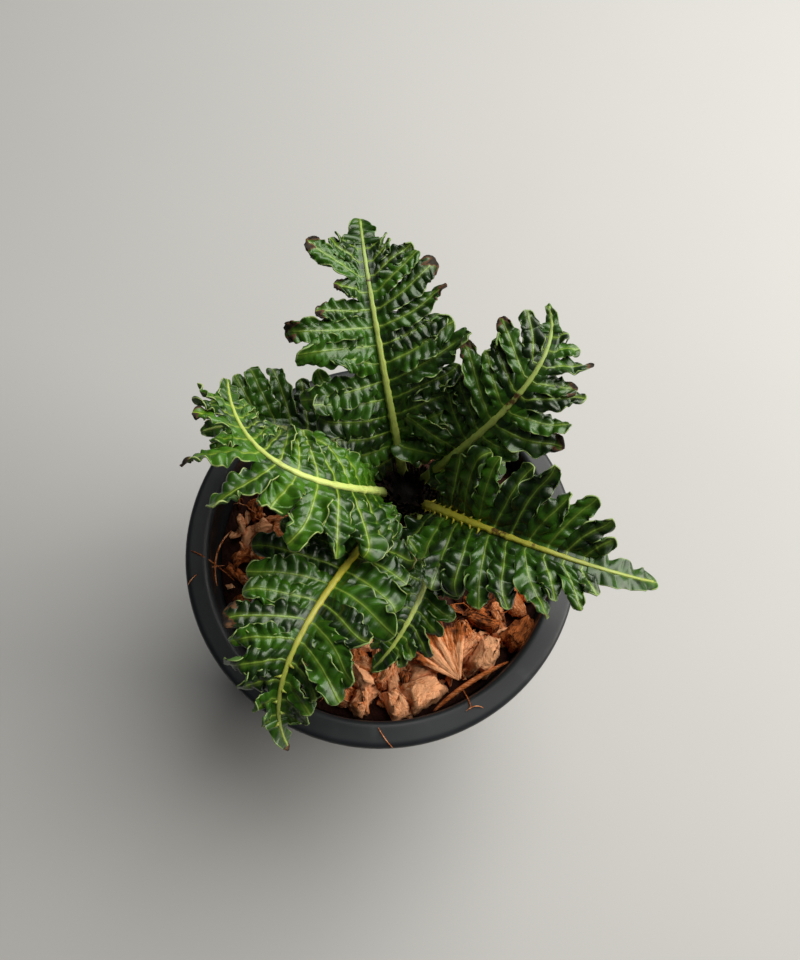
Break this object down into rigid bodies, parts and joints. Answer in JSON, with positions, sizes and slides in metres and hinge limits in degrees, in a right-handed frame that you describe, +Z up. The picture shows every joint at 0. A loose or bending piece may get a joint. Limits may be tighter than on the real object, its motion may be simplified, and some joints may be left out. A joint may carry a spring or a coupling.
{
  "type": "potted silver lady fern",
  "caption": "Small crisped fern with arching, deeply lobed leathery fronds on raised pale midribs, standing in husk chips in a round plastic nursery pot.",
  "frame": {"origin": "centre of the pot's flat underside", "axes": "+Z up out of the pot, +X to the viewer's right and +Y away from the viewer in the picture's view"},
  "size_m": [0.1305, 0.1345, 0.1646],
  "materials": {
    "pot_plastic": "charcoal-black injection-moulded plastic with a soft satin sheen",
    "potting_mix": "dark damp crumbly potting mix",
    "husk": "dry fibrous orange-brown husk chips",
    "crown_scales": "dark brown papery scales",
    "fern_blade": "glossy dark green leathery blade with thin pale edges and veins",
    "fern_blade_bright": "glossy fresh green leathery blade with thin pale edges and veins",
    "fern_rib": "smooth pale yellow-green midrib with small brown marks"
  },
  "bodies": {
    "root": {"pot": "pot_plastic", "potting_mix": "potting_mix", "husk_chips": "husk", "crown": "crown_scales", "frond_back_blade": "fern_blade", "frond_back_rib": "fern_rib", "frond_left_blade": "fern_blade_bright", "frond_left_rib": "fern_rib", "frond_front_left_blade": "fern_blade", "frond_front_left_rib": "fern_rib", "frond_front_blade": "fern_blade", "frond_front_rib": "fern_rib", "frond_right_blade": "fern_blade", "frond_right_rib": "fern_rib", "frond_back_right_blade": "fern_blade", "frond_back_right_rib": "fern_rib", "frond_back_left_blade": "fern_blade", "frond_back_left_rib": "fern_rib"}
  },
  "joints": []
}
